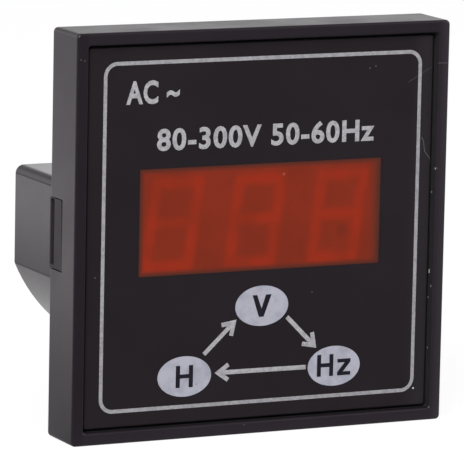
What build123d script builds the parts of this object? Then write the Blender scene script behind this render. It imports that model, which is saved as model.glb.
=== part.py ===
from build123d import *
import math
import os

# Digital panel meter with a square face and a round-bottomed case that goes into a round panel hole.
# Lengths are in millimetres. X is to the right, Z is up and Y runs from the front to the back.
# The origin is on the axis of the panel hole, in the plane that seats on the panel.

# Front frame
face_side = 45.0
bezel_depth = 6.8
rim_width = 1.4
skirt_wall = 1.75
ledge_thickness = 1.2
frame_corner_radius = 0.5
recess_corner_radius = 0.3
front_edge_radius = 0.3
back_edge_radius = 0.45

# Face plate in the recess of the frame
plate_recess = 0.7
plate_thickness = 1.5
plate_gap = 0.25
plate_edge_radius = 0.2

# Red window, put in from behind
window_width = 29.2
window_height = 11.8
window_z = 1.5
window_corner_radius = 0.2
window_flange_reach = 0.9
window_flange_thickness = 0.6
window_clearance = 0.02

# Silver print, in shallow pockets of the plate
ink_thickness = 0.08
border_inset = 1.61
border_shift = 0.17
border_line = 0.42
border_corner_radius = 1.6
arrow_line = 0.5
arrow_head = 1.5
arrow_head_angle = 35
# From, to, then along and aside for the tail and for the tip, as shares of the distance between ovals
arrow_route_shares = [
    ("hours", "volts", 0.275, 0.032, 0.688, 0.067),
    ("volts", "hertz", 0.285, 0.072, 0.696, 0.029),
    ("hertz", "hours", 0.19, -0.005, 0.777, -0.008),
]

# Oval lenses and the light wells behind them
lens_width = 6.45
lens_height = 4.5
lens_thickness = 1.0
lens_seat = 0.5
lens_clearance = 0.02
well_wall = 0.5
volts_x = 0.35
volts_z = -8.4
hours_x = -8.88
hertz_x = 9.38
lens_edge_gap = 2.9

# Latches between the frame and the case
latch_window_top = 4.07
latch_window_bottom = -3.88
latch_window_front = 3.38
latch_end_gap = 0.12
latch_front_gap_top = 0.34
latch_front_gap_bottom = 0.1
latch_setback = 0.02
latch_slot_front = 1.2
latch_slot_back = 0.25
latch_slot_depth = 1.5
latch_slot_top_wall = 0.1
latch_slot_bottom_wall = 0.37
snap_bead_radius = 0.25
snap_bead_length = 24.0
snap_bead_back = 1.7
snap_groove_clearance = 0.06

# Rear case
spigot_diameter = 37.5
spigot_length = 7.0
case_depth = 22.9
case_wall = 1.5
case_clearance = 0.1
flange_floor = 1.2
flange_rim = 1.05
body_flat_depth = 1.75
body_top = 3.92
body_corner_radius = 1.0
cavity_corner_radius = 0.5
body_side_edge_radius = 0.6
body_step = 0.25
body_back_edge_radius = 0.5

# Front board and its screws
board_clearance = 0.1
board_corner_radius = 0.4
board_thickness = 1.0
screw_diameter = 2.0
screw_length = 5.0
screw_head_diameter = 3.6
screw_head_height = 1.2
screw_cross_width = 0.5
screw_cross_length = 2.0
screw_cross_depth = 0.6
screw_hole_clearance = 0.1
screw_wall_inset = 1.25
screw_boss_wall = 1.2
screw_boss_length = 8.0
upper_screw_angle = 45.0
lower_screw_angle = -32.5

# Seven-segment display
block_width = 30.1
block_height = 13.0
block_z = 1.0
block_gap = 0.1
block_edge = 0.4
digit_count = 3
digit_pitch = 10.0
digit_height = 10.0
digit_width = 6.2
digit_slant = 10.0
segment_width = 0.9
segment_gap = 0.16
point_diameter = 1.0
point_offset = 3.8
led_length = 1.0
led_width = 0.5
led_height = 0.4
led_headroom = 0.1
indicator_led_length = 1.6
indicator_led_width = 0.8
indicator_led_height = 0.7

# Parts on the back of the front board
chip_lead_width = 0.4
chip_lead_thickness = 0.2
chip_lead_pitch = 1.27
chip_lead_reach = 1.2
chip_standoff = 0.1
controller_length = 12.8
controller_width = 7.5
controller_height = 2.3
controller_leads = 10
controller_z = 4.2
memory_length = 4.9
memory_width = 3.9
memory_height = 1.5
memory_leads = 4
memory_x = -10.8
memory_z = 2.2
transistor_length = 2.9
transistor_width = 1.3
transistor_height = 1.0
transistor_pitch = 4.0
transistor_x = 10.8
transistor_z = 2.2
transistor_legs = 2
crystal_length = 11.0
crystal_width = 4.6
crystal_height = 3.5
crystal_rim = 0.35
crystal_z = 12.6

# Power board in the rails of the case
power_board_thickness = 1.6
power_board_top = -4.0
power_board_gap = 1.5
power_board_back_gap = 0.3
rail_reach = 1.0
rail_thickness = 0.8
rail_clearance = 0.08
lead_diameter = 0.6
lead_hole_clearance = 0.15
lead_stub = 0.8

# Header between the boards
header_pin_count = 8
header_pitch = 2.54
header_pin_side = 0.64
header_strip_side = 2.5
header_setback = 0.5
header_hole_clearance = 0.1

# Parts on the power board
film_width = 5.0
film_length = 10.0
film_height = 7.5
film_edge_radius = 0.5
film_pitch = 7.5
film_x = -8.3
film_y = 10.6
can_diameter = 6.3
can_length = 11.0
can_groove = 0.35
can_groove_offset = 1.6
can_groove_width = 0.9
can_pitch = 2.5
can_lead_bend = 1.2
can_seat_gap = 0.05
can_x = 0.0
can_y = 5.2
disc_diameter = 7.0
disc_thickness = 3.4
disc_edge_radius = 0.8
disc_pitch = 5.0
disc_x = 8.5
disc_y = 8.4
disc_seat = 0.6
bridge_length = 4.7
bridge_width = 3.9
bridge_height = 2.5
bridge_x = 8.6
bridge_y = 14.5
bridge_leads = 2
resistor_count = 3
resistor_diameter = 2.3
resistor_waist = 1.8
resistor_cap_length = 1.3
resistor_length = 6.3
resistor_pitch = 10.16
resistor_spacing = 2.8
resistor_x = 0.0
resistor_y = 5.2
resistor_lead_radius = 0.6

# Blade terminals
tab_width = 6.3
tab_thickness = 0.8
tab_reach = 8.0
tab_foot = 4.4
tab_spacing = 13.0
tab_tip_chamfer = 0.9
tab_hole_diameter = 1.65
tab_hole_inset = 3.2
tab_leg_width = 1.0
tab_leg_clearance = 0.1
tab_slot_clearance = 0.12
tab_collar_wall = 1.0
tab_collar_height = 0.6
tab_collar_radius = 0.6

# One overrun for every cut that has to run out of the material
overrun = 1.0

# Places and sizes that follow from the values above
front_y = -bezel_depth
plate_front_y = front_y + plate_recess
plate_back_y = plate_front_y + plate_thickness
ledge_back_y = plate_back_y + ledge_thickness
board_back_y = -flange_floor
board_front_y = board_back_y - board_thickness
recess_side = face_side - 2 * rim_width
plate_side = recess_side - 2 * plate_gap
lower_lens_z = lens_edge_gap + lens_height / 2 - plate_side / 2
skirt_side = face_side - 2 * skirt_wall
flange_side = skirt_side - 2 * case_clearance
board_pocket_side = flange_side - 2 * flange_rim
board_side = board_pocket_side - 2 * board_clearance
spigot_radius = spigot_diameter / 2
body_width = spigot_diameter - 2 * body_flat_depth
body_radius = spigot_radius - body_step
bore_radius = spigot_radius - case_wall
cavity_width = body_width - 2 * case_wall
cavity_top = body_top - case_wall
cavity_back_y = case_depth - case_wall
roof_y = spigot_length - case_wall
power_board_bottom = power_board_top - power_board_thickness
power_board_front_y = board_back_y + power_board_gap
power_board_back_y = cavity_back_y - power_board_back_gap
power_board_width = cavity_width - 2 * board_clearance
header_y = power_board_front_y + header_setback + header_strip_side / 2
header_z = power_board_top + header_strip_side / 2
screw_circle = bore_radius - screw_wall_inset
lens_places = {
    "volts": (volts_x, volts_z),
    "hours": (hours_x, lower_lens_z),
    "hertz": (hertz_x, lower_lens_z),
}


def prism(sketch, front, back):
    """Solid with a section drawn in X and Z that runs from Y=front to Y=back."""
    plane = Plane(origin=(0, back, 0), x_dir=(1, 0, 0), z_dir=(0, -1, 0))
    return extrude(plane * sketch, amount=back - front, dir=(0, -1, 0))


def square(side, corner):
    return RectangleRounded(side, side, corner)


def brick(x_size, y_size, z_size, x, y, z):
    """Box centred on X and Z whose front face is at Y=y."""
    solid = Box(x_size, y_size, z_size, align=(Align.CENTER, Align.MIN, Align.CENTER))
    return Pos(x, y, z) * solid


def upright_rod(diameter, x, y, low, high):
    solid = Cylinder(diameter / 2, high - low, align=(Align.CENTER, Align.CENTER, Align.MIN))
    return Pos(x, y, low) * solid


def end_edges(solid, y):
    """Edges of a solid that lie in the plane Y=y."""
    return solid.edges().filter_by_position(Axis.Y, y, y)


def joined(solids):
    total = solids[0]
    for solid in solids[1:]:
        total = total + solid
    return total


# Frame, plate, window and print

def snap_beads(radius, length):
    """Two long beads along X, on the top and bottom sides of the flange."""
    rod = Rot(0, 90, 0) * Cylinder(radius, length)
    return [Pos(0, -snap_bead_back, side * flange_side / 2) * rod for side in (-1, 1)]


def latch_windows():
    """Openings in the left and right sides of the skirt, open to the back."""
    height = latch_window_top - latch_window_bottom
    middle = (latch_window_top + latch_window_bottom) / 2
    reach = skirt_wall + 2 * overrun
    centre = face_side / 2 - skirt_wall / 2
    depth = latch_window_front + overrun
    return [brick(reach, depth, height, side * centre, -latch_window_front, middle) for side in (-1, 1)]


def front_frame():
    frame = prism(square(face_side, frame_corner_radius), front_y, 0)
    frame = fillet(end_edges(frame, 0), back_edge_radius)
    frame -= prism(square(recess_side, recess_corner_radius), front_y, plate_back_y)
    frame = fillet(end_edges(frame, front_y), front_edge_radius)
    frame -= prism(square(board_pocket_side, recess_corner_radius), plate_back_y, ledge_back_y)
    frame -= prism(square(skirt_side, recess_corner_radius), ledge_back_y, 0)
    groove_length = snap_bead_length + 2 * snap_groove_clearance
    cuts = latch_windows() + snap_beads(snap_bead_radius + snap_groove_clearance, groove_length)
    for cut in cuts:
        frame -= cut
    return frame


def window_outline(spare):
    outline = RectangleRounded(window_width + 2 * spare, window_height + 2 * spare,
                               window_corner_radius + spare)
    return Pos(0, window_z) * outline


def window_solid(spare):
    """Stepped window: the front part fills the opening and the flange sits in a rebate behind."""
    step_y = plate_back_y - window_flange_thickness
    front = prism(window_outline(spare), plate_front_y, step_y)
    flange = prism(window_outline(window_flange_reach + spare), step_y - spare, plate_back_y)
    return front + flange


def display_window():
    return window_solid(0)


def ellipse_at(name, spare):
    x, z = lens_places[name]
    return Pos(x, z) * Ellipse(lens_width / 2 + spare, lens_height / 2 + spare)


def indicator_lens(name):
    return prism(ellipse_at(name, 0), plate_front_y, plate_front_y + lens_thickness)


def border_sketch():
    outer_side = plate_side - 2 * border_inset
    inner_side = outer_side - 2 * border_line
    inner_radius = border_corner_radius - border_line
    ring = square(outer_side, border_corner_radius) - square(inner_side, inner_radius)
    return Pos(border_shift, 0) * ring


def bar(start, end):
    """Line of print from one point to another, with square ends."""
    run = Vector(*end) - Vector(*start)
    middle = (Vector(*end) + Vector(*start)) / 2
    angle = math.degrees(math.atan2(run.Y, run.X))
    return Pos(middle.X, middle.Y) * Rot(0, 0, angle) * Rectangle(run.length, arrow_line)


def arrow_mitre():
    """Kite that brings the outer edges of two arms to a point, heading along X."""
    half_line = arrow_line / 2
    slope = math.radians(arrow_head_angle)
    ahead = half_line * math.sin(slope)
    aside = half_line * math.cos(slope)
    point = half_line / math.sin(slope)
    return make_face(Polyline((0, 0), (ahead, -aside), (point, 0), (ahead, aside), close=True))


def arrow_sketch(tail, tip):
    """Straight shaft with an open head whose two arms meet at the tip."""
    heading = math.degrees(math.atan2(tip[1] - tail[1], tip[0] - tail[0]))
    arrow = bar(tail, tip)
    for side in (-1, 1):
        turn = math.radians(heading + 180 + side * arrow_head_angle)
        arm_end = (tip[0] + arrow_head * math.cos(turn), tip[1] + arrow_head * math.sin(turn))
        arrow += bar(tip, arm_end)
    arrow += Pos(tip[0], tip[1]) * Rot(0, 0, heading) * arrow_mitre()
    return arrow


def arrow_sketches():
    sketches = []
    for start, finish, tail_along, tail_aside, tip_along, tip_aside in arrow_route_shares:
        x0, z0 = lens_places[start]
        x1, z1 = lens_places[finish]
        run_x = x1 - x0
        run_z = z1 - z0
        tail = (x0 + run_x * tail_along - run_z * tail_aside, z0 + run_z * tail_along + run_x * tail_aside)
        tip = (x0 + run_x * tip_along - run_z * tip_aside, z0 + run_z * tip_along + run_x * tip_aside)
        sketches.append(arrow_sketch(tail, tip))
    return sketches


def print_solid(sketch):
    return prism(sketch, plate_front_y, plate_front_y + ink_thickness)


def printed_border():
    return print_solid(border_sketch())


def printed_arrows():
    return Compound(children=[print_solid(sketch) for sketch in arrow_sketches()])


def face_plate():
    plate = prism(square(plate_side, recess_corner_radius), plate_front_y, plate_back_y)
    plate = fillet(end_edges(plate, plate_front_y), plate_edge_radius)
    wells = []
    for name in lens_places:
        outer = ellipse_at(name, well_wall - lens_seat)
        wells.append(prism(outer, plate_back_y, board_front_y - board_clearance))
    relief = brick(block_width + 2 * board_clearance, board_front_y - plate_back_y,
                   block_height + 2 * board_clearance, 0, plate_back_y, block_z)
    plate = joined([plate] + [well - relief for well in wells])
    plate -= window_solid(window_clearance)
    for name in lens_places:
        plate -= prism(ellipse_at(name, lens_clearance), plate_front_y, plate_front_y + lens_thickness)
        plate -= prism(ellipse_at(name, -lens_seat), plate_front_y, board_front_y)
    plate -= print_solid(border_sketch())
    for sketch in arrow_sketches():
        plate -= print_solid(sketch)
    return plate


# Rear case

def d_section(radius, width, top, corner, spare):
    """Circle cut by two flat sides and a flat top with rounded corners."""
    bottom = -radius - spare
    frame = Pos(0, (top + bottom) / 2) * RectangleRounded(width, top - bottom, corner)
    return Circle(radius) & frame


def outer_section():
    section = d_section(body_radius, body_width, body_top, body_corner_radius, case_wall)
    low_corners = section.vertices().filter_by(lambda corner: corner.Y < -body_corner_radius)
    side_corners = [corner for corner in low_corners if abs(corner.X) > body_width / 2 - case_clearance]
    return fillet(side_corners, body_side_edge_radius)


def cavity_section():
    return d_section(bore_radius, cavity_width, cavity_top, cavity_corner_radius, case_wall)


def latch_ear(side):
    """Ear on the side of the flange that snaps into the window of the skirt, with its finger slot."""
    base = flange_side / 2 - flange_rim / 2
    tip = face_side / 2 - latch_setback
    top = latch_window_top - latch_end_gap
    bottom = latch_window_bottom + latch_end_gap
    profile = make_face(Polyline(
        (-latch_window_front + latch_front_gap_bottom, bottom),
        (0, bottom),
        (0, top),
        (-latch_window_front + latch_front_gap_top, top),
        close=True))
    ear = extrude(Plane.YZ.offset(base) * profile, amount=tip - base)
    slot_top = top - latch_slot_top_wall
    slot_bottom = bottom + latch_slot_bottom_wall
    slot = brick(latch_slot_depth + overrun, latch_slot_front - latch_slot_back, slot_top - slot_bottom,
                 tip - latch_slot_depth / 2 + overrun / 2, -latch_slot_front, (slot_top + slot_bottom) / 2)
    ear -= slot
    return ear if side > 0 else mirror(ear, about=Plane.YZ)


def screw_places():
    angles = [upper_screw_angle, 180 - upper_screw_angle, lower_screw_angle, 180 - lower_screw_angle]
    places = []
    for angle in angles:
        turn = math.radians(angle)
        places.append((screw_circle * math.cos(turn), screw_circle * math.sin(turn)))
    return places


def screw_bosses():
    boss_diameter = screw_diameter + 2 * screw_boss_wall
    bosses = []
    for x, z in screw_places():
        back = roof_y if z > cavity_top else screw_boss_length
        bosses.append(prism(Pos(x, z) * Circle(boss_diameter / 2), board_back_y, back))
    return bosses


def rails():
    """Ribs above and below the edges of the power board."""
    ribs = []
    reach = rail_reach + case_wall / 2
    low_z = power_board_bottom - rail_clearance - rail_thickness / 2
    high_z = power_board_top + rail_clearance + rail_thickness / 2
    for side in (-1, 1):
        x = side * (cavity_width / 2 - rail_reach + reach / 2)
        for z in (low_z, high_z):
            ribs.append(brick(reach, cavity_back_y - roof_y, rail_thickness, x, roof_y, z))
    return ribs


def tab_places():
    return [-tab_spacing / 2, tab_spacing / 2]


def tab_z():
    return power_board_top + tab_thickness / 2


def tab_outline(x, spare, corner):
    outline = RectangleRounded(tab_width + 2 * spare, tab_thickness + 2 * spare, corner)
    return Pos(x, tab_z()) * outline


def rear_case():
    body = prism(outer_section(), 0, case_depth)
    body = fillet(end_edges(body, case_depth), body_back_edge_radius)
    spigot = prism(Circle(spigot_radius), 0, spigot_length)
    flange = prism(square(flange_side, recess_corner_radius), ledge_back_y, 0)
    outside = flange + spigot + body
    cavity = prism(cavity_section(), 0, cavity_back_y)
    cavity += prism(Circle(bore_radius), board_back_y, roof_y)
    inner = joined([outside & rib for rib in screw_bosses() + rails()])
    case = outside - cavity
    case -= prism(square(board_pocket_side, recess_corner_radius), ledge_back_y, board_back_y)
    case += inner
    for side in (-1, 1):
        case += latch_ear(side)
    for bead in snap_beads(snap_bead_radius, snap_bead_length):
        case += bead & prism(square(skirt_side, recess_corner_radius), ledge_back_y, 0)
    pilot = screw_diameter / 2 - screw_hole_clearance
    for x, z in screw_places():
        depth = board_back_y + screw_length
        case -= prism(Pos(x, z) * Circle(pilot), board_back_y, depth)
    for x in tab_places():
        case += prism(tab_outline(x, tab_collar_wall, tab_collar_radius), case_depth,
                      case_depth + tab_collar_height)
    for x in tab_places():
        slot = Pos(x, tab_z()) * Rectangle(tab_width + 2 * tab_slot_clearance,
                                           tab_thickness + 2 * tab_slot_clearance)
        case -= prism(slot, cavity_back_y - overrun, case_depth + tab_collar_height)
    return case


# Display

def slanted(x, z):
    return (x + z * math.tan(math.radians(digit_slant)), z)


def segment_places():
    """Centre and direction of the seven segments, before the slant."""
    half_width = (digit_width - segment_width) / 2
    quarter = (digit_height - segment_width) / 4
    level = [(0, z, False) for z in (2 * quarter, 0, -2 * quarter)]
    upright = [(x, z, True) for x in (-half_width, half_width) for z in (quarter, -quarter)]
    return level + upright


def segment_sketch(x, z, is_upright):
    """Bar with pointed ends, sheared by the slant of the digit."""
    span = (digit_height - segment_width) / 2 if is_upright else digit_width - segment_width
    half = (span - segment_gap) / 2
    shoulder = half - segment_width / 2
    side = segment_width / 2
    upper = [(-half, 0), (-shoulder, side), (shoulder, side)]
    outline = upper + [(half, 0), (shoulder, -side), (-shoulder, -side)]
    if is_upright:
        outline = [(v, u) for u, v in outline]
    return Polygon(*[slanted(x + u, z + v) for u, v in outline], align=None)


def digit_sketches(index):
    """Outlines of the segments and the point of one digit."""
    centre = (index - (digit_count - 1) / 2) * digit_pitch
    place = Pos(centre, block_z)
    sketches = [place * segment_sketch(x, z, upright) for x, z, upright in segment_places()]
    point_x, point_z = slanted(point_offset, -(digit_height - segment_width) / 2)
    sketches.append(place * Pos(point_x, point_z) * Circle(point_diameter / 2))
    return sketches


def display_block():
    front = plate_back_y + block_gap
    block = brick(block_width, board_front_y - front, block_height, 0, front, block_z)
    block = chamfer(end_edges(block, front), block_edge / 2)
    for index in range(digit_count):
        for sketch in digit_sketches(index):
            block -= prism(sketch, front, board_front_y)
    return block


def digit_segments(index):
    front = plate_back_y + block_gap
    back = board_front_y - led_height - led_headroom
    return Compound(children=[prism(sketch, front, back) for sketch in digit_sketches(index)])


def digit_leds(index):
    centre = (index - (digit_count - 1) / 2) * digit_pitch
    places = [(x, z, upright) for x, z, upright in segment_places()]
    places.append((point_offset, -(digit_height - segment_width) / 2, False))
    chips = []
    for x, z, is_upright in places:
        slanted_x, slanted_z = slanted(x, z)
        length = led_width if is_upright or x > digit_width / 2 else led_length
        height = led_length if is_upright else led_width
        chips.append(brick(length, led_height, height, centre + slanted_x, board_front_y - led_height,
                           block_z + slanted_z))
    return Compound(children=chips)


def indicator_led(name):
    x, z = lens_places[name]
    return brick(indicator_led_length, indicator_led_height, indicator_led_width, x,
                 board_front_y - indicator_led_height, z)


# Front board and what it carries

def header_xs():
    return [(index - (header_pin_count - 1) / 2) * header_pitch for index in range(header_pin_count)]


def header_pin(x):
    level_length = header_y + header_pin_side / 2 - board_front_y
    level = brick(header_pin_side, level_length, header_pin_side, x, board_front_y, header_z)
    low = power_board_bottom - lead_stub
    high = header_z + header_pin_side / 2
    upright = brick(header_pin_side, header_pin_side, high - low, x, header_y - header_pin_side / 2,
                    (high + low) / 2)
    return level + upright


def header_pins():
    return Compound(children=[header_pin(x) for x in header_xs()])


def header_strip():
    length = header_pin_count * header_pitch
    front = header_y - header_strip_side / 2
    strip = brick(length, header_strip_side, header_strip_side, 0, front, header_z)
    strip = chamfer(strip.edges().filter_by(Axis.Z), block_edge)
    for x in header_xs():
        strip -= header_pin(x)
    return strip


def header_hole_radius():
    return header_pin_side / math.sqrt(2) + header_hole_clearance


def display_board():
    board = prism(square(board_side, board_corner_radius), board_front_y, board_back_y)
    for x, z in screw_places():
        hole = Circle(screw_diameter / 2 + screw_hole_clearance)
        board -= prism(Pos(x, z) * hole, board_front_y, board_back_y)
    for x in header_xs():
        board -= prism(Pos(x, header_z) * Circle(header_hole_radius()), board_front_y, board_back_y)
    return board


def board_screw(x, z):
    head_front = board_front_y - screw_head_height
    head = prism(Circle(screw_head_diameter / 2), head_front, board_front_y)
    head = fillet(end_edges(head, head_front), screw_head_height / 2)
    shank_radius = screw_diameter / 2 - screw_hole_clearance
    shank = prism(Circle(shank_radius), board_front_y, board_back_y + screw_length - board_thickness)
    cross = Rectangle(screw_cross_length, screw_cross_width)
    cross += Rectangle(screw_cross_width, screw_cross_length)
    screw = head + shank - prism(cross, head_front, head_front + screw_cross_depth)
    return Pos(x, 0, z) * screw


def board_screws():
    return Compound(children=[board_screw(x, z) for x, z in screw_places()])


def chip(length, width, height, lead_xs, lead_sides):
    """Chip on a board that faces +Z here: a body with tapered sides, and bent leads down to the board."""
    taper = height / 4
    body = Pos(0, 0, chip_standoff) * Box(length, width, height - chip_standoff,
                                          align=(Align.CENTER, Align.CENTER, Align.MIN))
    body = chamfer(body.edges().group_by(Axis.Z)[-1], taper / 2)
    knee = width / 2 + chip_lead_reach / 2
    middle = height / 2
    for x in lead_xs:
        for side in lead_sides:
            shoulder = Pos(x, side * (width / 2 + knee) / 2, middle) * Box(
                chip_lead_width, knee - width / 2 + chip_lead_thickness, chip_lead_thickness)
            drop = Pos(x, side * knee, middle / 2) * Box(
                chip_lead_width, chip_lead_thickness, middle + chip_lead_thickness / 2)
            foot = Pos(x, side * (knee + chip_lead_reach / 4), chip_lead_thickness / 2) * Box(
                chip_lead_width, chip_lead_reach / 2, chip_lead_thickness)
            lead = shoulder + drop + foot
            body += lead & Pos(0, 0, height / 2) * Box(length, width + 2 * chip_lead_reach, height)
    return body


def lead_row(count):
    return [(index - (count - 1) / 2) * chip_lead_pitch for index in range(count)]


def on_board_back(x, z):
    """Place for a chip on the back of the front board."""
    return Pos(x, board_back_y, z) * Rot(-90, 0, 0)


def microcontroller():
    body = chip(controller_length, controller_width, controller_height, lead_row(controller_leads), (-1, 1))
    return on_board_back(0, controller_z) * body


def memory_chip():
    body = chip(memory_length, memory_width, memory_height, lead_row(memory_leads), (-1, 1))
    return on_board_back(memory_x, memory_z) * Rot(0, 0, 90) * body


def driver_transistors():
    body = chip(transistor_length, transistor_width, transistor_height, lead_row(transistor_legs), (-1,))
    body += chip(transistor_length, transistor_width, transistor_height, [0], (1,))
    solids = []
    for index in range(digit_count):
        z = transistor_z + (index - (digit_count - 1) / 2) * transistor_pitch
        solids.append(on_board_back(transistor_x, z) * body)
    return Compound(children=solids)


def crystal():
    can = prism(SlotOverall(crystal_length - 2 * crystal_rim, crystal_width - 2 * crystal_rim),
                board_back_y + crystal_rim, board_back_y + crystal_height)
    can = fillet(end_edges(can, board_back_y + crystal_height), crystal_rim)
    rim = prism(SlotOverall(crystal_length, crystal_width), board_back_y, board_back_y + crystal_rim)
    return Pos(0, 0, crystal_z) * (can + rim)


# Power board and what it carries

def film_lead_places():
    return [(film_x, film_y + side * film_pitch / 2) for side in (-1, 1)]


def can_lead_places():
    return [(can_x + side * can_pitch / 2, can_y - can_lead_bend) for side in (-1, 1)]


def disc_lead_places():
    return [(disc_x, disc_y + side * disc_pitch / 2) for side in (-1, 1)]


def resistor_ys():
    return [resistor_y + index * resistor_spacing for index in range(resistor_count)]


def resistor_lead_places():
    return [(resistor_x + side * resistor_pitch / 2, y) for y in resistor_ys() for side in (-1, 1)]


def leg_places():
    """Centres of the two soldered legs of each blade terminal."""
    y = cavity_back_y - tab_foot + tab_thickness / 2
    spread = (tab_width - tab_leg_width) / 2
    return [(x + side * spread, y) for x in tab_places() for side in (-1, 1)]


def main_board():
    length = power_board_back_y - power_board_front_y
    middle = (power_board_top + power_board_bottom) / 2
    board = brick(power_board_width, length, power_board_thickness, 0, power_board_front_y, middle)
    lead_places = film_lead_places() + can_lead_places() + disc_lead_places() + resistor_lead_places()
    hole_diameter = lead_diameter + 2 * lead_hole_clearance
    for x, y in lead_places:
        board -= upright_rod(hole_diameter, x, y, power_board_bottom, power_board_top)
    for x in header_xs():
        board -= upright_rod(2 * header_hole_radius(), x, header_y, power_board_bottom, power_board_top)
    for x, y in leg_places():
        slot_width = tab_leg_width + 2 * tab_leg_clearance
        slot_depth = tab_thickness + 2 * tab_leg_clearance
        board -= brick(slot_width, slot_depth, power_board_thickness, x, y - slot_depth / 2, middle)
    return board


def hanging_lead(x, y, low):
    """Lead that starts in a part below the power board and ends above it."""
    return upright_rod(lead_diameter, x, y, low, power_board_top + lead_stub)


def film_capacitor():
    middle = power_board_bottom - film_height / 2
    body = brick(film_width, film_length, film_height, film_x, film_y - film_length / 2, middle)
    body = fillet(body.edges().group_by(Axis.Z)[0], film_edge_radius)
    for x, y in film_lead_places():
        body += hanging_lead(x, y, middle)
    return body


def electrolytic_capacitor():
    """Can that lies below the board along Y, with a rolled groove near its seal and bent leads."""
    z = power_board_bottom - can_diameter / 2 - can_seat_gap
    radius = can_diameter / 2
    can = prism(Circle(radius), can_y, can_y + can_length)
    can = fillet(end_edges(can, can_y + can_length), can_groove)
    groove = prism(Circle(radius) - Circle(radius - can_groove), can_y + can_groove_offset,
                   can_y + can_groove_offset + can_groove_width)
    can -= groove
    body = Pos(can_x, 0, z) * can
    for x, y in can_lead_places():
        body += hanging_lead(x, y, z - lead_diameter / 2)
        body += Pos(x, 0, z) * prism(Circle(lead_diameter / 2), y, can_y + can_groove)
    return body


def varistor():
    z = power_board_bottom - disc_seat - disc_diameter / 2
    disc = Cylinder(disc_diameter / 2, disc_thickness)
    disc = fillet(disc.edges().filter_by(GeomType.CIRCLE), disc_edge_radius)
    body = Pos(disc_x, disc_y, z) * Rot(0, 90, 0) * disc
    for x, y in disc_lead_places():
        body += hanging_lead(x, y, z)
    return body


def bridge_rectifier():
    body = chip(bridge_length, bridge_width, bridge_height, lead_row(bridge_leads), (-1, 1))
    return Pos(bridge_x, bridge_y, power_board_bottom) * Rot(180, 0, 0) * Rot(0, 0, 90) * body


def divider_resistor(y):
    """Dumbbell body along X that lies on the board, with leads bent down through it."""
    z = power_board_top + resistor_diameter / 2
    core = Cylinder(resistor_waist / 2, resistor_length)
    cap_shift = (resistor_length - resistor_cap_length) / 2
    cap = fillet(Cylinder(resistor_diameter / 2, resistor_cap_length).edges().filter_by(GeomType.CIRCLE),
                 resistor_cap_length / 4)
    body = core + Pos(0, 0, cap_shift) * cap + Pos(0, 0, -cap_shift) * cap
    body = Pos(resistor_x, y, z) * Rot(0, 90, 0) * body
    half = resistor_pitch / 2
    low = power_board_bottom - lead_stub
    path = FilletPolyline((resistor_x - half, y, low), (resistor_x - half, y, z),
                          (resistor_x + half, y, z), (resistor_x + half, y, low),
                          radius=resistor_lead_radius)
    lead = sweep(Plane(origin=path @ 0, z_dir=path % 0) * Circle(lead_diameter / 2), path=path)
    return body + lead


def divider_resistors():
    return Compound(children=[divider_resistor(y) for y in resistor_ys()])


def blade_terminal(x):
    """Flat blade that lies on the power board, passes the rear wall and has two soldered legs."""
    front = cavity_back_y - tab_foot
    back = case_depth + tab_reach
    blade = brick(tab_width, back - front, tab_thickness, x, front, tab_z())
    tip_corners = blade.edges().filter_by(Axis.Z).group_by(Axis.Y)[-1]
    blade = chamfer(tip_corners, tab_tip_chamfer)
    blade -= upright_rod(tab_hole_diameter, x, back - tab_hole_inset, tab_z() - tab_thickness,
                         tab_z() + tab_thickness)
    low = power_board_bottom - lead_stub
    for leg_x, leg_y in leg_places():
        if abs(leg_x - x) < tab_width / 2:
            blade += brick(tab_leg_width, tab_thickness, power_board_top - low, leg_x,
                           leg_y - tab_thickness / 2, (power_board_top + low) / 2)
    return blade


def all_nodes():
    nodes = {
        "front_frame": front_frame(),
        "face_plate": face_plate(),
        "display_window": display_window(),
        "printed_border": printed_border(),
        "printed_arrows": printed_arrows(),
        "rear_case": rear_case(),
        "display_block": display_block(),
        "display_board": display_board(),
        "board_screws": board_screws(),
        "microcontroller": microcontroller(),
        "memory_chip": memory_chip(),
        "driver_transistors": driver_transistors(),
        "crystal": crystal(),
        "header_strip": header_strip(),
        "header_pins": header_pins(),
        "main_board": main_board(),
        "film_capacitor": film_capacitor(),
        "electrolytic_capacitor": electrolytic_capacitor(),
        "varistor": varistor(),
        "bridge_rectifier": bridge_rectifier(),
        "divider_resistors": divider_resistors(),
    }
    for name in lens_places:
        nodes["indicator_lens_" + name] = indicator_lens(name)
        nodes["indicator_led_" + name] = indicator_led(name)
    for index in range(digit_count):
        nodes["digit_segments_" + str(index + 1)] = digit_segments(index)
        nodes["digit_leds_" + str(index + 1)] = digit_leds(index)
    for side, x in zip(("left", "right"), tab_places()):
        nodes["terminal_" + side] = blade_terminal(x)
    return nodes


os.makedirs("parts", exist_ok=True)
for node_name, shape in all_nodes().items():
    export_step(shape, os.path.join("parts", node_name + ".step"))
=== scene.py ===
import math
import bpy
from mathutils import Matrix, Vector


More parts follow.
